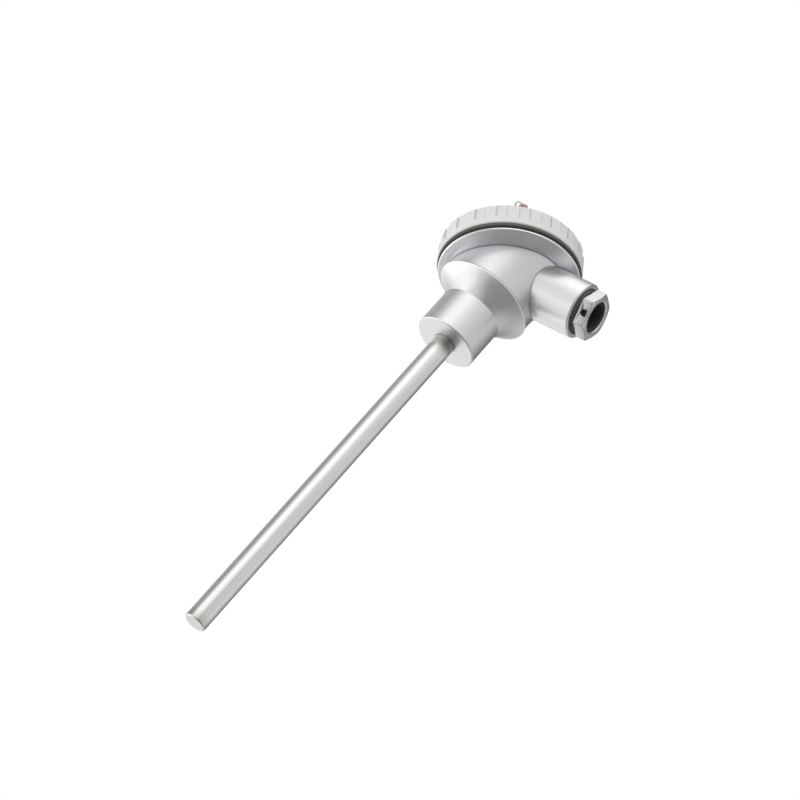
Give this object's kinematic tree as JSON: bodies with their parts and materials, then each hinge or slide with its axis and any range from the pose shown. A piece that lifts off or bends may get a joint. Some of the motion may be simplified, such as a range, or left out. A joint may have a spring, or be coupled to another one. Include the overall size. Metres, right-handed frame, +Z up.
{
  "type": "assembled thermocouple with rigid protection tube and screw-cap connection head",
  "caption": "Thermocouple: straight stainless protection tube in a cast aluminium connection head with an inclined grip-edged screw cap and a side cable gland with hexagon nut.",
  "frame": {"origin": "centre of the boss's bottom face, on the axis of the protection tube", "axes": "+Z up the tube's axis into the head, +X out along the conduit; the tube points down -Z, and the cap's axis leans 30 degrees from +Z towards -X"},
  "size_m": [0.0959, 0.0837, 0.292],
  "materials": {
    "head_paint": "silver-grey baked paint on die-cast aluminium, satin",
    "cap_paint": "light grey paint on die-cast aluminium, satin",
    "rubber": "black moulded rubber, matt",
    "stainless": "polished stainless steel tube",
    "nut_aluminium": "bare machined aluminium, satin",
    "zinc_steel": "zinc-plated steel",
    "chain_steel": "nickel-plated steel wire",
    "copper_screw": "copper-coloured plated stud",
    "brass": "machined brass, satin",
    "ceramic": "unglazed electrical ceramic",
    "sleeve_fibre": "woven glass-fibre sleeving",
    "seal_silicone": "red-brown silicone plug",
    "positive_alloy": "thermocouple alloy wire, dull",
    "negative_alloy": "thermocouple alloy wire, dull"
  },
  "bodies": {
    "head": {"head_body": "head_paint", "protection_tube": "stainless", "tube_set_screw": "zinc_steel", "terminal_block": "ceramic", "terminal_posts": "brass", "terminal_screws": "zinc_steel", "block_screws": "zinc_steel", "block_washers": "zinc_steel", "earth_screw": "zinc_steel", "earth_washer": "zinc_steel", "insulator_beads": "ceramic", "tube_seal": "seal_silicone", "hot_junction": "positive_alloy", "positive_wire": "positive_alloy", "negative_wire": "negative_alloy", "wire_sleeves": "sleeve_fibre", "gland_grommet": "rubber", "gland_washer": "zinc_steel", "lug_stud": "zinc_steel", "lug_ring": "chain_steel", "chain": "chain_steel"},
    "cap_gasket_body": {"cap_gasket": "rubber"},
    "cap_body": {"cap": "cap_paint", "cap_stud": "copper_screw", "cap_ring": "chain_steel"},
    "gland_seal_body": {"gland_seal": "rubber"},
    "gland_nut_body": {"gland_nut": "nut_aluminium"}
  },
  "joints": [
    {"name": "cap_lift", "type": "slide", "parent": "head", "child": "cap_gasket_body", "axis": [-0.5, 0, 0.866], "range_m": [0, 0.006], "deforming": ["chain"]},
    {"name": "cap_turn", "type": "hinge", "parent": "cap_gasket_body", "child": "cap_body", "pos_m": [0.00154, 0, 0.05447], "axis": [-0.5, 0, 0.866], "range_deg": [0, 1440]},
    {"name": "nut_travel", "type": "slide", "parent": "head", "child": "gland_seal_body", "axis": [1, 0, 0], "range_m": [0, 0.006]},
    {"name": "nut_turn", "type": "hinge", "parent": "gland_seal_body", "child": "gland_nut_body", "pos_m": [0.05117, 0, 0.05425], "axis": [1, 0, 0], "range_deg": [0, 1440]}
  ],
  "couplings": [
    {"joint": "cap_lift", "follows": "cap_turn", "m_per_rad": 0.00023873},
    {"joint": "nut_travel", "follows": "nut_turn", "m_per_rad": 0.00023873}
  ]
}
